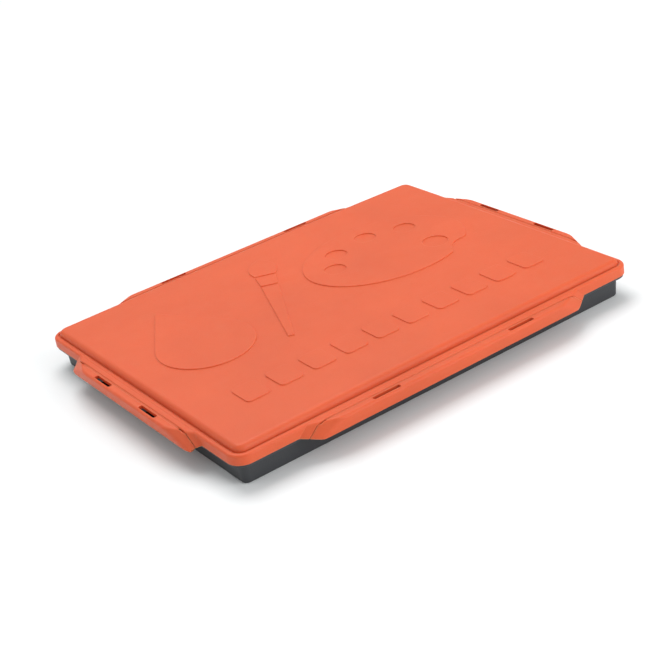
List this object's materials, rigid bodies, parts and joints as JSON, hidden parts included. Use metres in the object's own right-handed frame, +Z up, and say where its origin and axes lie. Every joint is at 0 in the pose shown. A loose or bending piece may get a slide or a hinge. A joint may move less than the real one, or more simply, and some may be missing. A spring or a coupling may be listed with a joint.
{
  "type": "wet palette",
  "caption": "Shallow rectangular tray with a domed press-fit lid, a hinged locking wing on each side, and a foam sheet under palette paper inside.",
  "frame": {"origin": "middle of the tray's underside, on the surface that it stands on", "axes": "+X along the long side, +Y along the short side towards the back, +Z up"},
  "size_m": [0.2204, 0.1694, 0.0191],
  "materials": {
    "tray_plastic": "charcoal moulded plastic, fine satin texture",
    "lid_plastic": "orange moulded plastic, satin",
    "seal": "translucent grey silicone",
    "foam": "open-cell hydrating foam",
    "paper": "thin semi-translucent parchment"
  },
  "bodies": {
    "tray": {"base_tray": "tray_plastic", "foam_sheet": "foam", "palette_paper": "paper"},
    "lid": {"lid_shell": "lid_plastic", "lid_seal": "seal", "hinge_web_front": "lid_plastic", "hinge_web_right": "lid_plastic", "hinge_web_back": "lid_plastic", "hinge_web_left": "lid_plastic"},
    "front_wing": {"wing_front": "lid_plastic"},
    "right_wing": {"wing_right": "lid_plastic"},
    "back_wing": {"wing_back": "lid_plastic"},
    "left_wing": {"wing_left": "lid_plastic"}
  },
  "joints": [
    {"name": "lid_lift", "type": "slide", "parent": "tray", "child": "lid", "axis": [0, 0, 1], "range_m": [0, 0.08]},
    {"name": "front_wing_hinge", "type": "hinge", "parent": "lid", "child": "front_wing", "pos_m": [0, -0.0807, 0.01475], "axis": [-1, 0, 0], "range_deg": [0, 110]},
    {"name": "right_wing_hinge", "type": "hinge", "parent": "lid", "child": "right_wing", "pos_m": [0.1062, 0, 0.01475], "axis": [0, -1, 0], "range_deg": [0, 110]},
    {"name": "back_wing_hinge", "type": "hinge", "parent": "lid", "child": "back_wing", "pos_m": [0, 0.0807, 0.01475], "axis": [1, 0, 0], "range_deg": [0, 110]},
    {"name": "left_wing_hinge", "type": "hinge", "parent": "lid", "child": "left_wing", "pos_m": [-0.1062, 0, 0.01475], "axis": [0, 1, 0], "range_deg": [0, 110]}
  ]
}
